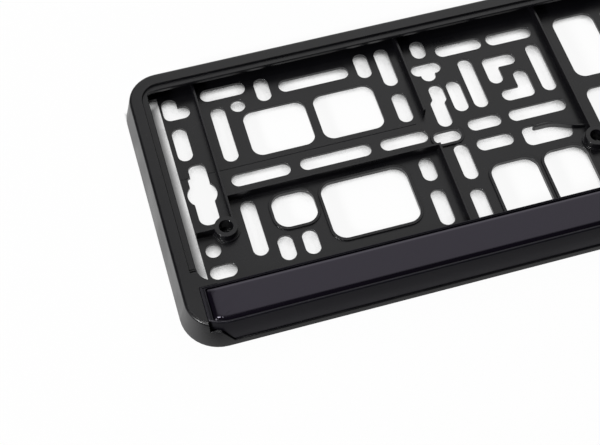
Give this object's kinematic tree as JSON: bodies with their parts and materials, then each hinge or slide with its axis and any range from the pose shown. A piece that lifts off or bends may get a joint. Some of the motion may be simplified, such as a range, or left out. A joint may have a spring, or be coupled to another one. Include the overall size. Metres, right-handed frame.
{
  "type": "number plate holder",
  "caption": "Long shallow plastic frame with an overhanging rim, a ribbed and slotted back, screw bosses and a clip-in lower strip with a domed label.",
  "frame": {"origin": "middle of the underside, which lies on the surface behind the holder", "axes": "+X along the length of the plate, +Y to the holder's upper edge, +Z out of the front"},
  "size_m": [0.532, 0.1378, 0.014],
  "materials": {
    "black_moulding": "satin",
    "strip_moulding": "satin",
    "label_resin": "gloss"
  },
  "bodies": {
    "root": {"base_frame": "black_moulding", "holding_strip": "strip_moulding", "label_dome": "label_resin"}
  },
  "joints": []
}
